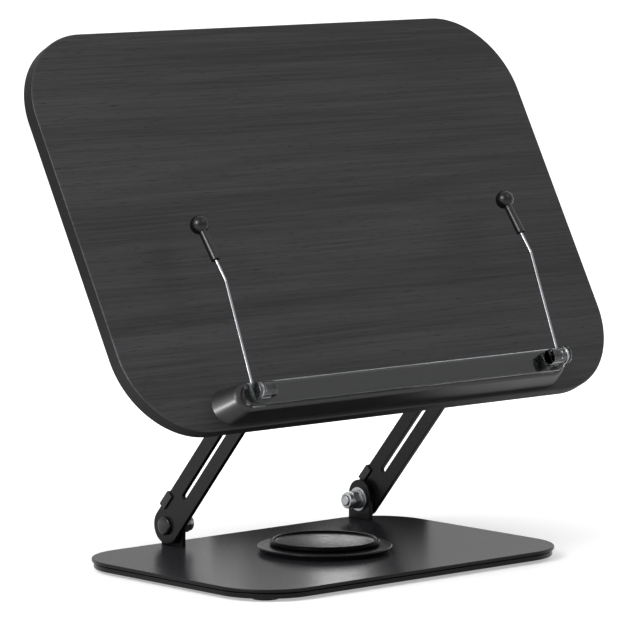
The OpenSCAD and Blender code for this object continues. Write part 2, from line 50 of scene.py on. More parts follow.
def toLinear(hexText):
    parts = [int(hexText[i:i + 2], 16) / 255 for i in (1, 3, 5)]
    return [p / 12.92 if p <= 0.04045 else ((p + 0.055) / 1.055) ** 2.4 for p in parts] + [1.0]


def perMetre(sizeMm):
    return 1 / (sizeMm * mm)  # texture scale for a feature of this size


def addNode(tree, kind, inputs=None, **settings):
    node = tree.nodes.new(kind)
    for name, value in settings.items():
        setattr(node, name, value)
    for name, value in (inputs or {}).items():
        if isinstance(value, bpy.types.NodeSocket):
            tree.links.new(value, node.inputs[name])
        else:
            node.inputs[name].default_value = value
    return node


def newMaterial(name, surface):
    material = bpy.data.materials.new(name)
    material.use_nodes = True
    tree = material.node_tree
    shader = tree.nodes["Principled BSDF"]
    for socket, value in surface.items():
        shader.inputs[socket].default_value = value
    coords = addNode(tree, "ShaderNodeTexCoord").outputs["Object"]
    return material, tree, shader, coords


# sockets that Blender tells apart only by their number
mixFactor, mixLow, mixHigh, mixA, mixB = 0, 2, 3, 6, 7
mixValue, mixColour = 0, 2
first, second = 0, 1
shaderOff, shaderOn = 1, 2
noiseLow, noiseHigh = 0.3, 0.7  # most of a noise texture's values lie between these


def wireUp(tree, shader, rough, bump, tone=None):
    tree.links.new(rough.outputs["Result"], shader.inputs["Roughness"])
    tree.links.new(bump.outputs["Normal"], shader.inputs["Normal"])
    if tone:
        tree.links.new(tone.outputs[mixColour], shader.inputs["Base Color"])


# powder coated steel, baked satin black: a fine orange peel softens every reflection
def makePowderCoat(name, paint):
    coat = {"peelMm": 2.2, "gritMm": 0.5, "cloudMm": 70}
    material, tree, shader, coords = newMaterial(name, {"IOR": 1.5, "Specular IOR Level": paint["sheen"]})
    cloud = addNode(tree, "ShaderNodeTexNoise",
                    {"Vector": coords, "Scale": perMetre(coat["cloudMm"]), "Detail": 3.0})
    peel = addNode(tree, "ShaderNodeTexNoise",
                   {"Vector": coords, "Scale": perMetre(coat["peelMm"]), "Detail": 2.0})
    grit = addNode(tree, "ShaderNodeTexNoise",
                   {"Vector": coords, "Scale": perMetre(coat["gritMm"]), "Detail": 2.0})
    tone = addNode(tree, "ShaderNodeMix",
                   {mixFactor: cloud.outputs["Fac"], mixA: toLinear(paint["tone"]),
                    mixB: toLinear(paint["lift"])}, data_type="RGBA")
    rough = addNode(tree, "ShaderNodeMapRange",
                    {"Value": grit.outputs["Fac"], "From Min": noiseLow, "From Max": noiseHigh,
                     "To Min": paint["rough"][0], "To Max": paint["rough"][1]})
    fine = addNode(tree, "ShaderNodeBump",
                   {"Height": grit.outputs["Fac"], "Strength": 0.12, "Distance": 0.0001})
    wave = addNode(tree, "ShaderNodeBump",
                   {"Height": peel.outputs["Fac"], "Strength": 0.1, "Distance": 0.0002,
                    "Normal": fine.outputs["Normal"]})
    wireUp(tree, shader, rough, wave, tone)
    return material


# black wood grain laminate: pressed foil with long fibres across the board and short open pores
def makeLaminate(tilt):
    wood = {"dark": "#1b1b1c", "light": "#303032", "pore": "#0e0e0f",
            "fibreMm": 1.6, "fibreLongMm": 90, "bandMm": 14, "bandLongMm": 320,
            "poreMm": 0.55, "poreLongMm": 9}
    material, tree, shader, coords = newMaterial("blackWoodLaminate", {
        "IOR": 1.5, "Specular IOR Level": 0.22})
    flat = addNode(tree, "ShaderNodeMapping", {"Vector": coords, "Rotation": (-tilt, 0, 0)})
    streaks = {}
    for name, short, long in (("fibre", wood["fibreMm"], wood["fibreLongMm"]),
                              ("band", wood["bandMm"], wood["bandLongMm"]),
                              ("pore", wood["poreMm"], wood["poreLongMm"])):
        drawn = addNode(tree, "ShaderNodeMapping",
                        {"Vector": flat.outputs["Vector"],
                         "Scale": (perMetre(long), perMetre(short), perMetre(short))})
        streaks[name] = addNode(tree, "ShaderNodeTexNoise",
                                {"Vector": drawn.outputs["Vector"], "Scale": 1.0, "Detail": 4.0,
                                 "Distortion": 0.35}).outputs["Fac"]
    grain = addNode(tree, "ShaderNodeMath",
                    {first: streaks["fibre"], second: streaks["band"]}, operation="ADD")
    spread = addNode(tree, "ShaderNodeMapRange",
                     {"Value": grain.outputs["Value"], "From Min": 0.75, "From Max": 1.25})
    pores = addNode(tree, "ShaderNodeMapRange",
                    {"Value": streaks["pore"], "From Min": 0.6, "From Max": 0.68})
    tone = addNode(tree, "ShaderNodeMix",
                   {mixFactor: spread.outputs["Result"], mixA: toLinear(wood["dark"]),
                    mixB: toLinear(wood["light"])}, data_type="RGBA")
    worn = addNode(tree, "ShaderNodeMix",
                   {mixFactor: pores.outputs["Result"], mixA: tone.outputs[mixColour],
                    mixB: toLinear(wood["pore"])}, data_type="RGBA")
    rough = addNode(tree, "ShaderNodeMapRange",
                    {"Value": spread.outputs["Result"], "To Min": 0.52, "To Max": 0.4})
    ridges = addNode(tree, "ShaderNodeBump",
                     {"Height": grain.outputs["Value"], "Strength": 0.22, "Distance": 0.0003})
    pits = addNode(tree, "ShaderNodeBump",
                   {"Height": pores.outputs["Result"], "Strength": 0.35, "Distance": 0.0001,
                    "Normal": ridges.outputs["Normal"]}, invert=True)
    wireUp(tree, shader, rough, pits, worn)
    return material


# ABS, moulded in an etched tool: deep black with a fine even satin
def makeSatinAbs():
    plastic = {"tone": "#141415", "etchMm": 0.6, "flowMm": 45}
    material, tree, shader, coords = newMaterial("blackAbs", {
        "Base Color": toLinear(plastic["tone"]), "IOR": 1.52, "Specular IOR Level": 0.3})
    etch = addNode(tree, "ShaderNodeTexNoise",
                   {"Vector": coords, "Scale": perMetre(plastic["etchMm"]), "Detail": 2.0})
    flow = addNode(tree, "ShaderNodeTexNoise",
                   {"Vector": coords, "Scale": perMetre(plastic["flowMm"]), "Detail": 2.0})
    rough = addNode(tree, "ShaderNodeMapRange",
                    {"Value": flow.outputs["Fac"], "From Min": noiseLow, "From Max": noiseHigh,
                     "To Min": 0.36, "To Max": 0.44})
    skin = addNode(tree, "ShaderNodeBump",
                   {"Height": etch.outputs["Fac"], "Strength": 0.1, "Distance": 0.0001})
    wireUp(tree, shader, rough, skin)
    return material


# gloss black plastic, moulded in a polished tool: deep black, smooth, with a slow sink in the surface
def makeGlossPlastic():
    gloss = {"tone": "#0a0a0b", "sinkMm": 22, "hazeMm": 6}
    material, tree, shader, coords = newMaterial("glossBlackPlastic", {
        "Base Color": toLinear(gloss["tone"]), "IOR": 1.5, "Specular IOR Level": 0.015})
    sink = addNode(tree, "ShaderNodeTexNoise",
                   {"Vector": coords, "Scale": perMetre(gloss["sinkMm"]), "Detail": 1.0})
    haze = addNode(tree, "ShaderNodeTexNoise",
                   {"Vector": coords, "Scale": perMetre(gloss["hazeMm"]), "Detail": 3.0})
    rough = addNode(tree, "ShaderNodeMapRange",
                    {"Value": haze.outputs["Fac"], "From Min": noiseLow, "From Max": noiseHigh,
                     "To Min": 0.2, "To Max": 0.28})
    slow = addNode(tree, "ShaderNodeBump",
                   {"Height": sink.outputs["Fac"], "Strength": 0.08, "Distance": 0.0004})
    wireUp(tree, shader, rough, slow)
    return material


# rubber, compression moulded: dull black with a dusty bloom
def makeRubber():
    rubber = {"tone": "#131314", "bloom": "#1c1c1d", "bloomMm": 5, "grainMm": 0.5}
    material, tree, shader, coords = newMaterial("mouldedRubber", {"IOR": 1.5, "Specular IOR Level": 0.35})
    bloom = addNode(tree, "ShaderNodeTexNoise",
                    {"Vector": coords, "Scale": perMetre(rubber["bloomMm"]), "Detail": 4.0})
    grain = addNode(tree, "ShaderNodeTexNoise",
                    {"Vector": coords, "Scale": perMetre(rubber["grainMm"]), "Detail": 2.0})
    tone = addNode(tree, "ShaderNodeMix",
                   {mixFactor: bloom.outputs["Fac"], mixA: toLinear(rubber["tone"]),
                    mixB: toLinear(rubber["bloom"])}, data_type="RGBA")
    rough = addNode(tree, "ShaderNodeMapRange",
                    {"Value": bloom.outputs["Fac"], "To Min": 0.45, "To Max": 0.62})
    skin = addNode(tree, "ShaderNodeBump",
                   {"Height": grain.outputs["Fac"], "Strength": 0.2, "Distance": 0.0001})
    wireUp(tree, shader, rough, skin, tone)
    return material


# soft vinyl, dip moulded: smooth black with round highlights
def makeVinyl():
    vinyl = {"tone": "#0d0d0e", "rippleMm": 2.5}
    material, tree, shader, coords = newMaterial("softBlackVinyl", {
        "Base Color": toLinear(vinyl["tone"]), "IOR": 1.5, "Specular IOR Level": 0.25})
    ripple = addNode(tree, "ShaderNodeTexNoise",
                     {"Vector": coords, "Scale": perMetre(vinyl["rippleMm"]), "Detail": 2.0})
    rough = addNode(tree, "ShaderNodeMapRange",
                    {"Value": ripple.outputs["Fac"], "From Min": noiseLow, "From Max": noiseHigh,
                     "To Min": 0.17, "To Max": 0.24})
    skin = addNode(tree, "ShaderNodeBump",
                   {"Height": ripple.outputs["Fac"], "Strength": 0.06, "Distance": 0.0002})
    wireUp(tree, shader, rough, skin)
    return material


# clear acrylic, moulded: see-through with bright edges and faint flow lines
def makeClearPlastic():
    acrylic = {"tone": "#b9bdbf", "flowMm": 3, "flowLongMm": 26}
    material, tree, shader, coords = newMaterial("clearAcrylic", {
        "Base Color": toLinear(acrylic["tone"]), "IOR": 1.46, "Specular IOR Level": 0.25,
        "Transmission Weight": 1.0})
    short, long = perMetre(acrylic["flowMm"]), perMetre(acrylic["flowLongMm"])
    drawn = addNode(tree, "ShaderNodeMapping", {"Vector": coords, "Scale": (short, long, long)})
    flow = addNode(tree, "ShaderNodeTexNoise",
                   {"Vector": drawn.outputs["Vector"], "Scale": 1.0, "Detail": 2.0, "Distortion": 0.6})
    rough = addNode(tree, "ShaderNodeMapRange",
                    {"Value": flow.outputs["Fac"], "From Min": noiseLow, "From Max": noiseHigh,
                     "To Min": 0.02, "To Max": 0.08})
    lines = addNode(tree, "ShaderNodeBump",
                    {"Height": flow.outputs["Fac"], "Strength": 0.12, "Distance": 0.0004})
    wireUp(tree, shader, rough, lines)
    return material


# one recipe for metals and plain stock: a tone that wanders a little, and fine marks from how it was made
def makeStock(name, stock):
    plainSpecular = 0.5
    material, tree, shader, coords = newMaterial(name, {
        "Metallic": stock["metallic"], "Specular IOR Level": stock.get("specular", plainSpecular)})
    marks = addNode(tree, "ShaderNodeMapping",
                    {"Vector": coords, "Scale": [perMetre(size) for size in stock["markMm"]]})
    lines = addNode(tree, "ShaderNodeTexNoise",
                    {"Vector": marks.outputs["Vector"], "Scale": 1.0, "Detail": 3.0})
    drift = addNode(tree, "ShaderNodeTexNoise",
                    {"Vector": coords, "Scale": perMetre(stock["driftMm"]), "Detail": 2.0})
    tone = addNode(tree, "ShaderNodeMix",
                   {mixFactor: drift.outputs["Fac"], mixA: toLinear(stock["tone"]),
                    mixB: toLinear(stock["lift"])}, data_type="RGBA")
    rough = addNode(tree, "ShaderNodeMapRange",
                    {"Value": lines.outputs["Fac"], "From Min": noiseLow, "From Max": noiseHigh,
                     "To Min": stock["rough"][0], "To Max": stock["rough"][1]})
    scored = addNode(tree, "ShaderNodeBump",
                     {"Height": lines.outputs["Fac"], "Strength": stock["scored"], "Distance": 0.00005})
    wireUp(tree, shader, rough, scored, tone)
    return material


boardTilt = math.radians(61.3)  # from lying flat
powderCoat = makePowderCoat("powderCoatedSteel", {
    "tone": "#0f0f11", "lift": "#151517", "sheen": 0.13, "rough": (0.24, 0.33)})
# lighter copy of the powder coat for the upper plate's flats: painted light where light falls on the plate's top
plateCoatPaintedLighter = makePowderCoat("powderCoatPaintedLighter", {
    "tone": "#202022", "lift": "#28282b", "sheen": 0.025, "rough": (0.2, 0.3)})
laminate = makeLaminate(boardTilt)
satinAbs = makeSatinAbs()
glossPlastic = makeGlossPlastic()
rubber = makeRubber()
vinyl = makeVinyl()
clearPlastic = makeClearPlastic()
# zinc plate: bright with a cold cast, turned marks across the faces
zincPlate = makeStock("zincPlatedSteel", {
    "tone": "#979a9e", "lift": "#b3b5b6", "metallic": 1.0, "rough": (0.36, 0.46),
    "markMm": (0.25, 1.2, 1.2), "driftMm": 4, "scored": 0.12})
# ground bearing steel: almost a mirror
bearingSteel = makeStock("groundBearingSteel", {
    "tone": "#c9cbcd", "lift": "#d9dadb", "metallic": 1.0, "rough": (0.08, 0.15),
    "markMm": (0.4, 0.4, 3), "driftMm": 6, "scored": 0.05})
# stamped brass: warm, with a dull press finish
cageBrass = makeStock("stampedBrass", {
    "tone": "#a58948", "lift": "#bfa25c", "metallic": 1.0, "rough": (0.25, 0.4),
    "markMm": (0.5, 0.5, 0.5), "driftMm": 5, "scored": 0.1})
# black oxide on steel: thin dark skin that still shines at its edges
blackOxide = makeStock("blackOxideSteel", {
    "tone": "#0d0d0f", "lift": "#141416", "metallic": 0.0, "specular": 0.3, "rough": (0.15, 0.22),
    "markMm": (0.5, 0.5, 0.5), "driftMm": 3, "scored": 0.12})
# spring wire: bright drawn steel, streaked along its length
springWire = makeStock("drawnSpringWire", {
    "tone": "#77797c", "lift": "#898b8d", "metallic": 1.0, "rough": (0.2, 0.28),
    "markMm": (0.3, 8, 8), "driftMm": 10, "scored": 0.05})
# edge band on the board: matt black strip with a faint long grain
edgeBand = makeStock("pvcEdgeBand", {
    "tone": "#0a0a0b", "lift": "#101011", "metallic": 0.0, "specular": 0.14, "rough": (0.55, 0.65),
    "markMm": (6, 6, 0.8), "driftMm": 30, "scored": 0.1})
# turned nylon: waxy black with faint tool rings
nylon = makeStock("turnedNylon", {
    "tone": "#151515", "lift": "#1c1c1c", "metallic": 0.0, "rough": (0.42, 0.55),
    "markMm": (0.4, 0.4, 0.4), "driftMm": 4, "scored": 0.15})
print("materials made")


# modelling tools; pieces are drawn in millimetres and shrunk to metres when they are placed
past = 1  # mm that a cutting tool reaches past the piece
near = 0.01  # mm off a line that still counts as on it
weldGap = 0.002  # mm between vertices that become one
facing = 0.9  # least part of a face's normal along the axis it looks along


def objectMode():
    if bpy.context.mode != "OBJECT":
        bpy.ops.object.mode_set(mode="OBJECT")


def selectNone():
    objectMode()
    bpy.ops.object.select_all(action="DESELECT")


def onlySelect(*pieces):
    selectNone()
    for piece in pieces:
        piece.select_set(True)
    bpy.context.view_layer.objects.active = pieces[0]


def addBlock(low, high):
    selectNone()
    bpy.ops.mesh.primitive_cube_add(size=1, location=[(a + b) / 2 for a, b in zip(low, high)])
    block = bpy.context.object
    block.scale = [b - a for a, b in zip(low, high)]
    bpy.ops.object.transform_apply(location=True, rotation=True, scale=True)
    return block


def addRod(radius, low, high, steps=48, topRadius=None):
    selectNone()
    bpy.ops.mesh.primitive_cone_add(vertices=steps, radius1=radius,
                                    radius2=radius if topRadius is None else topRadius,
                                    depth=high - low, location=(0, 0, (low + high) / 2))
    bpy.ops.object.transform_apply(location=True, rotation=True, scale=True)
    return bpy.context.object


def pickNone(piece, kind):
    onlySelect(piece)
    bpy.ops.object.mode_set(mode="EDIT")
    bpy.ops.mesh.select_mode(type=kind)
    bpy.ops.mesh.select_all(action="DESELECT")
    bpy.ops.object.mode_set(mode="OBJECT")


# both picks leave the piece in edit mode, with what passed the test selected
def pickEdges(piece, test):
    pickNone(piece, "EDGE")
    mesh = piece.data
    for edge in mesh.edges:
        edge.select = test(*(mesh.vertices[i].co for i in edge.vertices))
    bpy.ops.object.mode_set(mode="EDIT")


def pickFaces(piece, test):
    pickNone(piece, "FACE")
    for face in piece.data.polygons:
        face.select = test(face.center, face.normal)
    bpy.ops.object.mode_set(mode="EDIT")


def tidyMesh(piece, gap=weldGap):
    onlySelect(piece)
    bpy.ops.object.mode_set(mode="EDIT")
    bpy.ops.mesh.select_all(action="SELECT")
    bpy.ops.mesh.remove_doubles(threshold=gap)
    bpy.ops.mesh.normals_make_consistent(inside=False)
    objectMode()


def applyModifier(piece, kind, **settings):
    onlySelect(piece)
    modifier = piece.modifiers.new(kind.lower(), kind)
    for name, value in settings.items():
        setattr(modifier, name, value)
    bpy.ops.object.modifier_apply(modifier=modifier.name)


def combine(piece, tool, operation):
    applyModifier(piece, "BOOLEAN", operation=operation, object=tool, solver="EXACT")
    bpy.data.objects.remove(tool)
    tidyMesh(piece)


def roundEdges(piece, width, steps=3, angle=35):
    applyModifier(piece, "BEVEL", width=width, segments=steps, limit_method="ANGLE",
                  angle_limit=math.radians(angle), use_clamp_overlap=False)


def isUpright(a, b):
    return abs(a.z - b.z) > near


def roundedSlab(low, high, corner, steps=20):
    slab = addBlock(low, high)
    pickEdges(slab, isUpright)
    bpy.ops.mesh.bevel(offset=corner, segments=steps, affect="EDGES")
    tidyMesh(slab)
    return slab


def drawnPath(points):
    # a plane merged to one vertex, which is then drawn out from point to point
    selectNone()
    bpy.ops.mesh.primitive_plane_add(size=1)
    path = bpy.context.object
    bpy.ops.object.mode_set(mode="EDIT")
    bpy.ops.mesh.select_mode(type="VERT")
    bpy.ops.mesh.merge(type="CENTER")
    bpy.ops.transform.translate(value=points[0])
    for here, there in zip(points, points[1:]):
        bpy.ops.mesh.extrude_region_move(TRANSFORM_OT_translate={"value": there - here})
    return path


def turned(profile, steps=96):
    # profile of (radius, height), spun round Z
    piece = drawnPath([Vector((radius, 0, height)) for radius, height in profile])
    bpy.ops.mesh.select_all(action="SELECT")
    bpy.ops.mesh.spin(steps=steps, angle=2 * math.pi, center=(0, 0, 0), axis=(0, 0, 1))
    objectMode()
    tidyMesh(piece)
    return piece


def arc(centre, radius, start, end, steps):
    # points of a fillet in a profile, angles in degrees
    turns = [math.radians(start + (end - start) * i / steps) for i in range(steps + 1)]
    return [(centre[0] + radius * math.cos(t), centre[1] + radius * math.sin(t)) for t in turns]


def copyOf(piece):
    twin = piece.copy()
    twin.data = piece.data.copy()
    scene.collection.objects.link(twin)
    return twin


def joined(pieces):
    onlySelect(*pieces)
    bpy.ops.object.join()
    return bpy.context.object


def shift(piece, x=0, y=0, z=0):
    piece.data.transform(Matrix.Translation((x, y, z)))
    return piece


def place(piece, where):
    onlySelect(piece)
    piece.matrix_world = where @ Matrix.Scale(mm, 4)
    bpy.ops.object.transform_apply(location=True, rotation=True, scale=True)
    return piece


def twoFinishes(piece, main, other, isOther):
    for material in (main, other):
        piece.data.materials.append(material)
    for face in piece.data.polygons:
        face.material_index = int(isOther(face))


def finishPiece(piece, name, material, *nodes, smooth=32):
    tidyMesh(piece, weldGap * mm)
    piece.name = piece.data.name = name
    if not piece.data.materials:
        piece.data.materials.append(material)
    onlySelect(piece)
    bpy.ops.object.shade_smooth_by_angle(angle=math.radians(smooth))
    applyModifier(piece, "WEIGHTED_NORMAL", keep_sharp=True, weight=80)
    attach(piece, bodyOf[nodes[0]])
    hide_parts(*nodes)
    print("piece:", name, len(piece.data.polygons), "faces")
    return piece


# frames of the object's own parts
stance = {"armShift": 22, "armTurn": 131, "boardDown": 48, "boardOff": 22.8}
mirrorX = Matrix.Diagonal((-1, 1, 1, 1))
level = Matrix.Identity(4)
armShift = Matrix.Translation((stance["armShift"] * mm, 0, 0))
sides = (("left", armShift @ mirrorX, mirrorX), ("right", armShift, level))
onSheet = Matrix(((0, 0, 1, 0), (1, 0, 0, 0), (0, 1, 0, 0), (0, 0, 0, 1)))  # flat outline stood up along X
alongX = Matrix.Rotation(math.radians(90), 4, "Y")  # a rod drawn along Z, laid along X
lowerPivot = Matrix.Translation(jointAt["arm_lift"])
upperPivot = Matrix.Translation(jointAt["fold_follow"])
armTurn = Matrix.Rotation(math.radians(stance["armTurn"]), 4, "X")
# board: x along it, y up its face, z off its front
boardFoot = Matrix.Translation((0, -stance["boardDown"] * mm, stance["boardOff"] * mm))
onBoard = upperPivot @ Matrix.Rotation(boardTilt, 4, "X") @ boardFoot


# base plates, feet and swivel
def makeBase():
    base = {"width": 252, "depth": 174, "corner": 36, "cornerSteps": 28, "edge": 0.5,
            "upper": (5.5, 7.5), "lower": (2, 5), "inset": 1.2, "bearingHole": 32,
            "boltHole": 4.1, "headHole": (9.1, 1.5), "cutTo": 20, "upright": 0.6}
    w, d = base["width"] / 2, base["depth"] / 2
    low, high = base["upper"]
    upper = roundedSlab((-w, -d, low), (w, d, high), base["corner"], base["cornerSteps"])
    combine(upper, addRod(base["bearingHole"], 0, base["cutTo"], steps=96), "DIFFERENCE")
    roundEdges(upper, base["edge"])
    # the flats take a lighter copy of the coat, painted light, and the upright cut edge keeps the darker coat,
    # painted shade
    twoFinishes(upper, plateCoatPaintedLighter, powderCoat, lambda face: abs(face.normal.z) < base["upright"])
    finishPiece(place(upper, level), "upperPlate", plateCoatPaintedLighter, "upper_plate")

    w, d = w - base["inset"], d - base["inset"]
    low, high = base["lower"]
    lower = roundedSlab((-w, -d, low), (w, d, high), base["corner"] - base["inset"], base["cornerSteps"])
    combine(lower, addRod(base["boltHole"], 0, base["cutTo"]), "DIFFERENCE")
    headRadius, headDeep = base["headHole"]
    combine(lower, addRod(headRadius, 0, low + headDeep), "DIFFERENCE")
    roundEdges(lower, base["edge"])
    finishPiece(place(lower, level), "lowerPlate", powderCoat, "lower_plate")

    feet = {"radius": 8, "height": 2, "dome": 0.6, "cup": 4.6, "cupSlope": 0.4, "cupDepth": 0.35,
            "at": (104.8, 65.8)}
    r, h, dome, cup = feet["radius"], feet["height"], feet["dome"], feet["cup"]
    foot = turned([(0, h), (r, h), (r, dome)] + arc((r - dome, dome), dome, 0, -90, 5)
                  + [(cup, 0), (cup - feet["cupSlope"], feet["cupDepth"]), (0, feet["cupDepth"])], steps=48)
    x, y = feet["at"]
    pads = [shift(copyOf(foot), sx * x, sy * y) for sx in (-1, 1) for sy in (-1, 1)]
    bpy.data.objects.remove(foot)
    finishPiece(place(joined(pads), level), "rubberFeet", rubber, "rubber_feet")


def makeSwivel():
    # disc: a rim on the upper plate, a web over the bearing and a well for the nut
    disc = {"radius": 40, "seat": 7.5, "top": 11.4, "web": 10.1, "inner": 30.1, "round": 0.8, "taper": 1.8,
            "wellOut": 15.3, "wellIn": 14.0, "wellFloor": (5.7, 7.0), "bore": 4.05}
    r, top, fillet, bore = disc["radius"], disc["top"], disc["round"], disc["bore"]
    low, high = disc["wellFloor"]
    rim = [(bore, low), (disc["wellOut"], low), (disc["wellOut"], disc["web"]), (disc["inner"], disc["web"]),
           (disc["inner"], disc["seat"]), (r - disc["taper"], disc["seat"])]
    rim += arc((r - fillet, top - fillet), fillet, 0, 90, 6)
    rim += [(disc["wellIn"], top), (disc["wellIn"], high), (bore, high), (bore, low)]
    finishPiece(place(turned(rim, steps=128), level), "swivelDisc", powderCoat, "swivel_disc")

    # cap: polished rolled rim round a shallow dish
    cap = {"radius": 32.75, "seat": 11.4, "height": 3.4, "roll": 1.7, "dishTop": 13.5, "dishSink": 0.9,
           "dishGap": 0.5, "dishSteps": (1, 0.9, 0.75, 0.6, 0.45, 0.3, 0.15, 0),
           "under": 11.8, "spigot": (12.8, 13.9), "spigotLow": 9.4}
    r, roll, under, low = cap["radius"], cap["roll"], cap["under"], cap["spigotLow"]
    inner, outer = cap["spigot"]
    shell = [(0, under), (inner, under), (inner, low), (outer, low), (outer, under),
             (r - 2 * roll, under), (r - 2 * roll, cap["seat"])]
    shell += arc((r - roll, cap["seat"] + cap["height"] - roll), roll, -75, 155, 22)
    dish = r - 2 * roll - cap["dishGap"]
    shell += [(dish * k, cap["dishTop"] - cap["dishSink"] * (1 - k * k)) for k in cap["dishSteps"]]
    finishPiece(place(turned(shell, steps=128), level), "swivelCap", glossPlastic, "swivel_cap", smooth=50)


makeBase()
makeSwivel()
print("base done")


# ears on the base and the slotted arms with their rubber bumpers
def makeArms():
    ear = {"at": 74.2, "thick": 3, "width": 19, "drop": 12.5, "rise": 2.5, "bore": 3.05, "edge": 0.35}
    arm = {"at": 78.8, "thick": 3, "width": 22, "length": 145, "slot": 3.3, "slotInset": 24,
           "bore": 3.05, "edge": 0.4}
    pad = {"from": 7, "long": 11, "over": 1, "deep": 4.3, "wall": 1.3, "edge": 0.4}
    for side, armSide, _ in sides:
        half = ear["width"] / 2
        plate = addBlock((-half, -ear["drop"], 0), (half, ear["rise"] + half, ear["thick"]))
        pickEdges(plate, lambda a, b: isUpright(a, b) and a.y > 0)
        bpy.ops.mesh.bevel(offset=half, segments=24, affect="EDGES")
        tidyMesh(plate)
        combine(plate, addRod(ear["bore"], -past, ear["thick"] + past), "DIFFERENCE")
        roundEdges(plate, ear["edge"])
        shift(plate, z=ear["at"])
        finishPiece(place(plate, armSide @ lowerPivot @ onSheet), side + "Ear", powderCoat, side + "_ear")

        half, thick, far = arm["width"] / 2, arm["thick"], arm["length"]
        bar = roundedSlab((-half, -half, 0), (far + half, half, thick), half, steps=24)
        slotHalf, inset = arm["slot"] / 2, arm["slotInset"]
        slot = roundedSlab((inset, -slotHalf, -past), (far - inset, slotHalf, thick + past),
                           slotHalf, steps=12)
        combine(bar, slot, "DIFFERENCE")
        for at in (0, far):
            combine(bar, shift(addRod(arm["bore"], -past, thick + past), x=at), "DIFFERENCE")
        roundEdges(bar, arm["edge"])
        shift(bar, z=arm["at"])
        onArm = armSide @ lowerPivot @ armTurn @ onSheet
        finishPiece(place(bar, onArm), side + "Arm", powderCoat, side + "_arm")

        start, end, wall = pad["from"], pad["from"] + pad["long"], pad["wall"]
        channel = addBlock((start, -half - pad["over"], -wall), (end, -half + pad["deep"], thick + wall))
        combine(channel, addBlock((start - past, -half, 0), (end + past, 0, thick)), "DIFFERENCE")
        roundEdges(channel, pad["edge"], steps=4)
        shift(channel, z=arm["at"])
        finishPiece(place(channel, onArm), side + "Bumper", rubber, side + "_bumper")


# bolt, washers and lock nut of one pivot, drawn along Z as it lies along X on the right
def makeHardware():
    bolt = {"shank": 3, "head": 5.5, "headAt": 81.8, "headHigh": 2.4, "round": 0.9, "crown": 0.35,
            "crownIn": 1.5, "crownDip": 0.05, "end": 62.6, "point": 0.5, "bright": 3}
    friction = {"radius": 9, "bore": 3.05, "from": 77.2, "to": 78.8, "edge": 0.15}
    flat = {"radius": 7.4, "bore": 3.1, "from": 73.0, "to": 74.2, "edge": 0.2}
    spring = {"radius": 5.9, "bore": 3.1, "from": 71.2, "to": 73.0, "edge": 0.2, "split": 0.7, "slant": 25,
              "cutTo": 10}
    nut = {"flats": 10, "bore": 3.1, "from": 66.2, "to": 71.2, "corner": 0.75, "slope": 0.6, "spare": 0.05,
           "collar": 4.9, "collarTo": 63.4, "collarIn": 0.5, "roll": 0.7, "mouth": 0.4, "throat": 0.1,
           "mouthDeep": 0.5}

    shank, head, seat = bolt["shank"], bolt["head"], bolt["headAt"]
    tail, point, fillet = bolt["end"], bolt["point"], bolt["round"]
    top = seat + bolt["headHigh"]
    shoulder = top - fillet - bolt["crown"]
    screw = turned([(0, tail), (shank - point, tail), (shank, tail + point), (shank, seat), (head, seat),
                    (head, shoulder)]
                   + arc((head - fillet, shoulder), fillet, 0, 70, 5)
                   + [(head - bolt["crownIn"], top - bolt["crownDip"]), (0, top)], steps=64)
    # the cut end of the shank is left bright
    twoFinishes(screw, blackOxide, zincPlate, lambda face: face.center.z < tail + bolt["bright"])

    def ring(size):
        r, c = size["radius"], size["edge"]
        a, b, bore = size["from"], size["to"], size["bore"]
        return turned([(bore, a), (r - c, a), (r, a + c), (r, b - c), (r - c, b), (bore, b), (bore, a)],
                      steps=64)

    lockRing = ring(spring)
    gap, a, b = spring["split"] / 2, spring["from"], spring["to"]
    cut = addBlock((0, -gap, a - past), (spring["cutTo"], gap, b + past))
    middle = Vector((0, 0, (a + b) / 2))
    slant = Matrix.Rotation(math.radians(spring["slant"]), 4, "X")
    cut.data.transform(Matrix.Translation(middle) @ slant @ Matrix.Translation(-middle))
    combine(lockRing, cut, "DIFFERENCE")

    # hexagon, its corners turned off by a cone at the washer side and at the collar
    across = nut["flats"] / 2 / math.cos(math.radians(30))
    a, b, k = nut["from"], nut["to"], nut["corner"]
    wide, slope = across + nut["spare"], k * nut["slope"]
    hexagon = addRod(across, a, b, steps=6)
    barrel = turned([(0, a), (across - k, a), (wide, a + slope), (wide, b - slope), (across - k, b), (0, b)],
                    steps=64)
    combine(hexagon, barrel, "INTERSECT")
    c, roll, end, bore = nut["collar"], nut["roll"], nut["collarTo"], nut["bore"]
    root, floor = a + nut["collarIn"], end + nut["mouthDeep"]
    collar = turned([(0, root), (c, root), (c, end + roll)]
                    + arc((c - roll, end + roll), roll, 0, -90, 6)
                    + [(bore + nut["mouth"], end), (bore + nut["throat"], floor), (0, floor)], steps=64)
    combine(hexagon, collar, "UNION")
    combine(hexagon, addRod(bore, end - 2 * past, b + past), "DIFFERENCE")

    kit = (("Bolts", screw, blackOxide, "pivot_bolts"),
           ("FrictionWashers", ring(friction), nylon, "friction_washers"),
           ("FlatWashers", ring(flat), zincPlate, "flat_washers"),
           ("SpringWashers", lockRing, zincPlate, "spring_washers"),
           ("LockNuts", hexagon, zincPlate, "lock_nuts"))
    for name, model, material, node in kit:
        for tier, pivot in (("lower", lowerPivot), ("upper", upperPivot)):
            pair = [place(copyOf(model), armSide @ pivot @ alongX) for _, armSide, _ in sides]
            finishPiece(joined(pair), tier + name, material, tier + "_" + node)
        bpy.data.objects.remove(model)


makeArms()
makeHardware()
print("arms and pivots done")


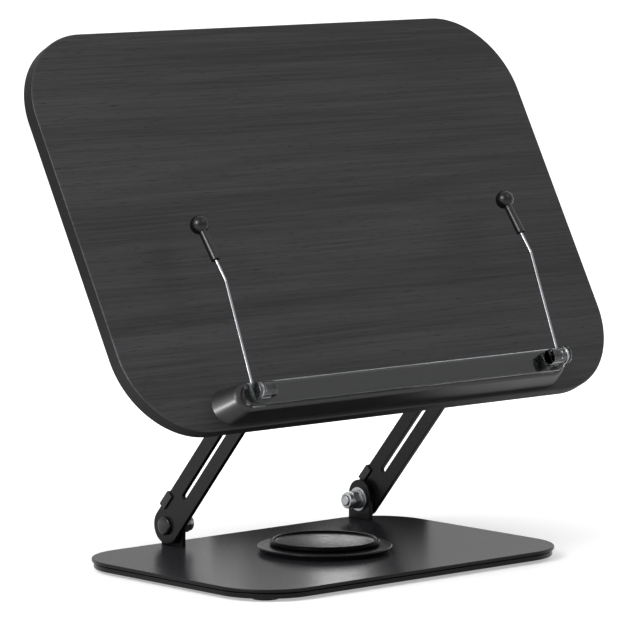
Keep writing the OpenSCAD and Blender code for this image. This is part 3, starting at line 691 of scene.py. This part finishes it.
# cuts a cross recess into a screw head whose top faces down at this height
def cutCross(screw, size, deep, height):
    cross = {"wing": 0.16, "above": 0.5}
    thin, top = size * cross["wing"], cross["above"]
    recess = addBlock((-size, -thin, -deep), (size, thin, top))
    combine(recess, addBlock((-thin, -size, -deep), (thin, size, top)), "UNION")
    recess.data.transform(Matrix.Translation((0, 0, height)) @ Matrix.Rotation(math.pi, 4, "X"))
    combine(screw, recess, "DIFFERENCE")


def makeBoard():
    board = {"width": 380, "height": 248.5, "thick": 9, "corner": 51, "edge": 1.1, "upright": 0.3}
    screws = {"shank": 2, "hole": 2.1, "head": 4, "sink": 2.2, "headGap": 0.1, "flushGap": 0.05,
              "lap": 0.001, "skin": 0.6, "railX": (-106.5, -35.5, 35.5, 106.5), "railY": 13.25,
              "railDeep": 7, "railPoint": 1.5, "railCross": (2.2, 1.3),
              "bracketX": (45.2, 58.2), "bracketY": (33, 63), "bite": 7,
              "panHead": 3.7, "panHigh": 2.2, "panFlat": 2.2, "panCross": (2.1, 1.3),
              "panPoint": ((0.6, 1.2), (0, 2.5)),
              "panDome": ((0, 0), (0, 0.5), (0.35, 1.2), (1.2, 1.85))}
    bracket = {"width": 40, "height": 46, "thick": 2.5, "corner": 5, "earAt": 74.2, "earThick": 3,
               "earWidth": 21, "pivotUp": stance["boardDown"], "pivotOff": 13.8, "bore": 3.05,
               "bend": 2.4, "edge": 0.35}
    w, t = board["width"] / 2, board["thick"]
    shank, hole = screws["shank"], screws["hole"]
    panel = roundedSlab((-w, 0, -t), (w, board["height"], 0), board["corner"], steps=32)
    spots = [(stance["armShift"] + s * x, y)
             for s in (-1, 1) for x in screws["bracketX"] for y in screws["bracketY"]]
    for x, y in spots:
        combine(panel, shift(addRod(hole, -t - past, -t + screws["bite"], steps=24), x, y), "DIFFERENCE")
    wide = screws["head"] + screws["headGap"]
    for x in screws["railX"]:
        sink = addRod(wide, -t, -t + screws["sink"], steps=32, topRadius=hole)
        combine(sink, addRod(wide, -t - past, -t + screws["lap"], steps=32), "UNION")
        combine(sink, addRod(hole, -t, -screws["skin"], steps=32), "UNION")
        combine(panel, shift(sink, x, screws["railY"]), "DIFFERENCE")
    roundEdges(panel, board["edge"], steps=4, angle=60)
    twoFinishes(panel, laminate, edgeBand, lambda face: abs(face.normal.z) < board["upright"])
    finishPiece(place(panel, onBoard), "bookBoard", laminate, "book_board")

    # countersunk ledge screws, flush with the back
    flush = turned([(0, -t), (screws["head"] - screws["flushGap"], -t), (shank, -t + screws["sink"]),
                    (shank, screws["railDeep"] - screws["railPoint"]), (0, screws["railDeep"])], steps=32)
    cutCross(flush, *screws["railCross"], -t)
    row = [shift(copyOf(flush), x, screws["railY"]) for x in screws["railX"]]
    bpy.data.objects.remove(flush)
    finishPiece(place(joined(row), onBoard), "railScrews", blackOxide, "rail_screws")

    # pan head screws that hold the brackets
    seat, tip, r = -t - bracket["thick"], -t + screws["bite"], screws["panHead"]
    top = seat - screws["panHigh"]
    pan = turned([(0, tip)] + [(shank - back, tip - up) for back, up in screws["panPoint"]]
                 + [(shank, seat)] + [(r - back, seat - up) for back, up in screws["panDome"]]
                 + [(r - screws["panFlat"], top), (0, top)], steps=40)
    cutCross(pan, *screws["panCross"], top)
    heads = [shift(copyOf(pan), x, y) for x, y in spots]
    bpy.data.objects.remove(pan)
    finishPiece(place(joined(heads), onBoard), "bracketScrews", blackOxide, "bracket_screws")

    # bent brackets: a plate on the back and an ear that tapers to the pivot
    outer = bracket["earAt"] + bracket["earThick"]
    low, high = (bracket["pivotUp"] + s * bracket["height"] / 2 for s in (-1, 1))
    half, off, thick = bracket["earWidth"] / 2, bracket["pivotOff"], bracket["earThick"]
    for side, _, flip in sides:
        plate = addBlock((outer - bracket["width"], low, seat), (outer, high, -t))
        pickEdges(plate, lambda a, b: isUpright(a, b) and a.x < outer - near)
        bpy.ops.mesh.bevel(offset=bracket["corner"], segments=8, affect="EDGES")
        ear = addRod(half, 0, thick, steps=64)
        web = addBlock((-half, 0, 0), (half, off, thick))
        pickFaces(web, lambda centre, normal: normal.y > facing)
        bpy.ops.transform.resize(value=(bracket["height"] / bracket["earWidth"], 1, 1))
        objectMode()
        combine(ear, web, "UNION")
        combine(ear, addRod(bracket["bore"], -past, thick + past, steps=40), "DIFFERENCE")
        ear.data.transform(Matrix.Translation((bracket["earAt"], bracket["pivotUp"], -t - off)) @ onSheet)
        combine(plate, ear, "UNION")
        for x in screws["bracketX"]:
            for y in screws["bracketY"]:
                combine(plate, shift(addRod(hole, seat - past, -t + past, steps=24), x, y), "DIFFERENCE")
        pickEdges(plate, lambda a, b: min(a.x, b.x) > outer - near and min(a.z, b.z) > -t - near)
        bpy.ops.mesh.bevel(offset=bracket["bend"], segments=6, affect="EDGES")
        objectMode()
        roundEdges(plate, bracket["edge"], steps=2, angle=50)
        finishPiece(place(plate, onBoard @ armShift @ flip), side + "Bracket", powderCoat, side + "_bracket")


makeBoard()
print("board done")


# ledge: drafted moulding with rounded shoulders, clear bar and clip seats on its front
def makeLedge():
    rail = {"length": 272, "height": 21.5, "low": 2.5, "depth": 15.5, "endDraft": 7, "draft": 2.5,
            "shoulder": 2.6}
    half, h, depth = rail["length"] / 2, rail["height"], rail["depth"]
    mid = rail["low"] + h / 2
    body = roundedSlab((-half, rail["low"], 0), (half, rail["low"] + h, depth), h / 2)
    pickFaces(body, lambda centre, normal: normal.z > facing)
    bpy.ops.transform.resize(value=((half - rail["endDraft"]) / half, (h - 2 * rail["draft"]) / h, 1),
                             center_override=(0, mid, depth))
    objectMode()
    pickEdges(body, lambda a, b: min(a.z, b.z) > depth - near)
    bpy.ops.mesh.bevel(offset=rail["shoulder"], segments=6, affect="EDGES")
    objectMode()
    finishPiece(place(body, onBoard), "ledgeRail", satinAbs, "ledge_rail", smooth=40)

    bar = {"length": 253, "height": 14, "thick": 3, "edge": 0.4, "seat": 15.5}
    clip = {"at": 24.1, "from": 109.3, "to": 119.3, "width": 9, "sunk": 0.5, "stub": 3.15, "stubTo": 121.7,
            "keeper": 5.25, "keeperThick": 1.4, "keeperRound": 0.7, "keeperFlat": 2,
            "pin": 1.575, "pinLong": 5, "pinGap": 0.1}
    top, long, tall = bar["seat"] + bar["thick"], bar["length"] / 2, bar["height"] / 2
    strip = roundedSlab((-long, mid - tall, bar["seat"]), (long, mid + tall, top), tall)
    w, gap, pin, deep = clip["width"] / 2, clip["pinGap"], clip["pin"], clip["pinLong"]
    seat = addBlock((clip["from"], mid - w, top - clip["sunk"]), (clip["to"], mid + w, clip["at"]))
    # crown of the seat, stub for the clip and socket for the keeper's pin
    for radius, start, end, steps, operation in (
            (w, clip["from"], clip["to"], 48, "UNION"),
            (clip["stub"], clip["to"] - past, clip["stubTo"], 40, "UNION"),
            (pin + gap, clip["stubTo"] - deep - gap, clip["stubTo"] + past, 32, "DIFFERENCE")):
        rod = addRod(radius, start, end, steps)
        rod.data.transform(Matrix.Translation((0, mid, clip["at"])) @ alongX)
        combine(seat, rod, operation)
    other = copyOf(seat)
    other.data.transform(mirrorX)
    tidyMesh(other)
    combine(strip, seat, "UNION")
    combine(strip, other, "UNION")
    roundEdges(strip, bar["edge"], angle=50)
    finishPiece(place(strip, onBoard), "clearBar", clearPlastic, "clear_bar")

    # domed keepers with a pin into the stubs
    r, k, fillet = clip["keeper"], clip["keeperThick"], clip["keeperRound"]
    button = turned([(0, -deep), (pin, -deep), (pin, 0), (r, 0), (r, k - fillet)]
                    + arc((r - fillet, k - fillet), fillet, 0, 80, 6)
                    + [(r - clip["keeperFlat"], k), (0, k)], steps=64)
    button.data.transform(Matrix.Translation((clip["stubTo"], mid, clip["at"])) @ alongX)
    twin = copyOf(button)
    twin.data.transform(mirrorX)
    finishPiece(place(joined([button, twin]), onBoard), "clipKeepers", clearPlastic, "clip_keepers")
    return mid, clip["at"]


# page clips: an eye round the stub, a leg, a bend and a moulded tip
def makeClips(mid, pivotHigh):
    wire = {"radius": 0.9, "eye": 4.1, "x": 120.5, "leg": 65.5, "rise": 7.1, "drop": 8.2, "tip": 28.8,
            "bend": 8, "bendSteps": 8, "eyeStart": -338, "eyeSteps": 44}
    tip = {"sleeveAt": 13.8, "sleeve": 2.6, "neck": 2.3, "neckGap": 0.15, "ballAt": 37.4, "ball": 5.5,
           "bore": 1.0, "boreEnd": 28.9, "mouth": 0.3, "lip": 0.45}
    rise, drop = math.radians(wire["rise"]), math.radians(wire["drop"])
    atPivot = onBoard @ Matrix.Translation((0, mid * mm, pivotHigh * mm))
    alongLeg = Matrix.Translation((wire["x"] * mm, 0, 0)) @ Matrix.Rotation(rise, 4, "X")
    eye, bend, turn = wire["eye"], wire["bend"], rise + drop
    bendAt = Vector((0, wire["leg"], -eye))
    # route in the leg's frame: round the eye, along the leg, round the bend, along the tip
    route = []
    for i in range(wire["eyeSteps"] + 1):
        a = math.radians(wire["eyeStart"] * (1 - i / wire["eyeSteps"]))
        route.append(Vector((0, eye * math.sin(a), -eye * math.cos(a))))
    centre = bendAt + Vector((0, -bend * math.tan(turn / 2), -bend))
    for i in range(wire["bendSteps"] + 1):
        a = turn * i / wire["bendSteps"]
        route.append(centre + Vector((0, bend * math.sin(a), bend * math.cos(a))))
    route.append(bendAt + wire["tip"] * Vector((0, math.cos(turn), -math.sin(turn))))

    strand = drawnPath(route)
    objectMode()
    bpy.ops.object.convert(target="CURVE")
    strand.data.bevel_depth = wire["radius"]
    strand.data.bevel_resolution = 5
    strand.data.use_fill_caps = True
    bpy.ops.object.convert(target="MESH")

    sleeve, neck, ball, bore = tip["sleeve"], tip["neck"], tip["ball"], tip["bore"]
    start, end, mouth, lip = tip["sleeveAt"], tip["boreEnd"], tip["mouth"], tip["lip"]
    meet = math.degrees(math.acos(neck / ball))
    neckTop = tip["ballAt"] - ball * math.sin(math.radians(meet)) - tip["neckGap"]
    grip = turned([(bore, end), (bore, start + mouth), (bore + mouth, start), (sleeve - lip, start)]
                  + arc((sleeve - lip, start + lip), lip, -90, 0, 5) + [(neck, neckTop)]
                  + arc((0, tip["ballAt"]), ball, -meet, 90, 28), steps=64)
    # the bore is closed at its end
    pickEdges(grip, lambda a, b: abs(a.z - end) < near and abs(b.z - end) < near)
    bpy.ops.mesh.edge_face_add()
    objectMode()
    grip.data.transform(Matrix.Translation(bendAt) @ Matrix.Rotation(-turn, 4, "X")
                        @ Matrix.Rotation(math.radians(-90), 4, "X"))

    for side, _, flip in sides:
        where = atPivot @ flip @ alongLeg
        finishPiece(place(copyOf(strand), where), side + "ClipWire", springWire, side + "_clip_wire",
                    smooth=60)
        finishPiece(place(copyOf(grip), where), side + "ClipTip", vinyl, side + "_clip_tip", smooth=50)
    bpy.data.objects.remove(strand)
    bpy.data.objects.remove(grip)


railMid, clipPivot = makeLedge()
makeClips(railMid, clipPivot)
print("ledge and clips done")

# inside pieces keep their solids and take their real finish
inside = {"swivel_bolt": zincPlate, "swivel_washer": zincPlate, "swivel_nut": zincPlate,
          "disc_screws": zincPlate, "bearing_lower_race": bearingSteel,
          "bearing_upper_race": bearingSteel, "bearing_balls": bearingSteel, "ball_cage": cageBrass}
for node, material in inside.items():
    mesh = frame["nodes"][node].data
    mesh.materials.clear()
    mesh.materials.append(material)
print("inside finished")


def emptyTree(holder):
    holder.use_nodes = True
    holder.node_tree.nodes.clear()
    return holder.node_tree


# 1 for the rays that are shown a white background: from the eye, off a shiny face, through a clear piece
def shownWhite(tree):
    path = addNode(tree, "ShaderNodeLightPath")
    shiny = addNode(tree, "ShaderNodeMath",
                    {first: path.outputs["Is Glossy Ray"], second: path.outputs["Is Transmission Ray"]},
                    operation="MAXIMUM")
    seen = addNode(tree, "ShaderNodeMath",
                   {first: path.outputs["Is Camera Ray"], second: shiny.outputs["Value"]},
                   operation="MAXIMUM")
    return seen.outputs["Value"]


# pale floor that keeps the shadow in a white room; light that bounces between pieces finds both dimmer
def makeStage():
    white = toLinear("#ffffff")
    # near and far: metres from the middle, and the floor's glow there; the glow is painted light, weaker near the
    # base so its shadow shows and full farther off, where it washes shadows out
    stage = {"floor": 40, "tone": "#cfcfcf", "dim": "#6a6a6a", "near": (0.12, 0.4), "far": (0.36, 1.0)}
    selectNone()
    bpy.ops.mesh.primitive_plane_add(size=stage["floor"], location=(0, 0, 0))
    floor = bpy.context.object
    floor.name = "studioFloor"
    material = bpy.data.materials.new("paintedFloor")
    tree = emptyTree(material)
    matt = addNode(tree, "ShaderNodeBsdfDiffuse", {"Color": toLinear(stage["tone"])})
    spot = addNode(tree, "ShaderNodeNewGeometry").outputs["Position"]
    reach = addNode(tree, "ShaderNodeVectorMath", {first: spot}, operation="LENGTH")
    lift = addNode(tree, "ShaderNodeMapRange",
                   {"Value": reach.outputs["Value"],
                    "From Min": stage["near"][0], "From Max": stage["far"][0],
                    "To Min": stage["near"][1], "To Max": stage["far"][1]})
    # painted light: the floor glows more the farther it lies from the base
    glow = addNode(tree, "ShaderNodeEmission", {"Color": white, "Strength": lift.outputs["Result"]})
    bright = addNode(tree, "ShaderNodeAddShader",
                     {first: matt.outputs["BSDF"], second: glow.outputs["Emission"]})
    dim = addNode(tree, "ShaderNodeBsdfDiffuse", {"Color": toLinear(stage["dim"])})
    seen = addNode(tree, "ShaderNodeMixShader",
                   {"Fac": shownWhite(tree), shaderOff: dim.outputs["BSDF"],
                    shaderOn: bright.outputs["Shader"]})
    addNode(tree, "ShaderNodeOutputMaterial", {"Surface": seen.outputs["Shader"]})
    floor.data.materials.append(material)

    # a low black card behind the base, unseen by the eye and casting no shadow, which shows only in what mirrors
    # it: a painted dark reflection across the rear of the base
    card = {"tone": "#080808", "at": (0.144, 0.164), "wide": 0.138, "tall": 0.05, "turn": 0.734}
    bpy.ops.mesh.primitive_plane_add(size=1, location=(*card["at"], card["tall"] / 2),
                                     rotation=(math.pi / 2, 0, -card["turn"]))
    flag = bpy.context.object
    flag.name = "studioCard"
    flag.scale = (card["wide"], card["tall"], 1)
    bpy.ops.object.transform_apply(location=True, rotation=True, scale=True)
    black = bpy.data.materials.new("blackCard")
    tree = emptyTree(black)
    felt = addNode(tree, "ShaderNodeBsdfDiffuse", {"Color": toLinear(card["tone"])})
    addNode(tree, "ShaderNodeOutputMaterial", {"Surface": felt.outputs["BSDF"]})
    flag.data.materials.append(black)
    flag.visible_camera = flag.visible_shadow = False
    flag.visible_diffuse = flag.visible_transmission = False

    room = {"ambient": 0.42, "shown": 1.0}
    world = bpy.data.worlds.new("studioWorld")
    scene.world = world
    tree = emptyTree(world)
    strength = addNode(tree, "ShaderNodeMix",
                       {mixFactor: shownWhite(tree), mixLow: room["ambient"], mixHigh: room["shown"]})
    sky = addNode(tree, "ShaderNodeBackground", {"Color": white, "Strength": strength.outputs[mixValue]})
    addNode(tree, "ShaderNodeOutputWorld", {"Surface": sky.outputs["Background"]})


def makeLights():
    lamps = {"key": {"at": (-1.55, -0.25, 1.2), "size": (1.5, 1.5), "power": 30},
             "glint": {"at": (-1.55, -0.25, 1.1), "size": (0.3, 0.3), "power": 12},
             "fill": {"at": (0.6, -1.4, 2.0), "size": (1.4, 1.4), "power": 8},
             "low": {"at": (-0.75, -0.09, 0.13), "size": (0.06, 0.06), "power": 0.042,
                     "aim": (-0.135, -0.057, 0.112), "beam": 0.25},
             "rightStrip": {"at": (0.23, 0.24, 0.104), "size": (0.03, 0.08), "power": 0.03},
             "leftStrip": {"at": (0.17, 0.29, 0.104), "size": (0.03, 0.08), "power": 0.007}}
    middle = (0, 0, 0.12)
    for name, lamp in lamps.items():
        data = bpy.data.lights.new(name + "Lamp", "AREA")
        data.shape = "RECTANGLE"
        data.size, data.size_y = lamp["size"]
        data.energy = lamp["power"]
        data.spread = lamp.get("beam", math.pi)
        light = bpy.data.objects.new(name + "Lamp", data)
        light.location = lamp["at"]
        aim = Vector(lamp.get("aim", middle))
        light.rotation_euler = (aim - light.location).to_track_quat("-Z", "Y").to_euler()
        light.visible_camera = False
        scene.collection.objects.link(light)


def makeCamera():
    view = {"at": (-1.8066, -1.9981, 0.4547), "along": (0.6655, 0.7376, -0.1142), "lens": 259.1,
            "sensor": 36, "far": 100}
    data = bpy.data.cameras.new("photoCamera")
    data.lens = view["lens"]
    data.sensor_width = view["sensor"]
    data.clip_end = view["far"]
    camera = bpy.data.objects.new("photoCamera", data)
    camera.location = view["at"]
    camera.rotation_euler = Vector(view["along"]).to_track_quat("-Z", "Y").to_euler()
    scene.collection.objects.link(camera)
    scene.camera = camera


makeStage()
makeLights()
makeCamera()
print("stage, lights and camera done")
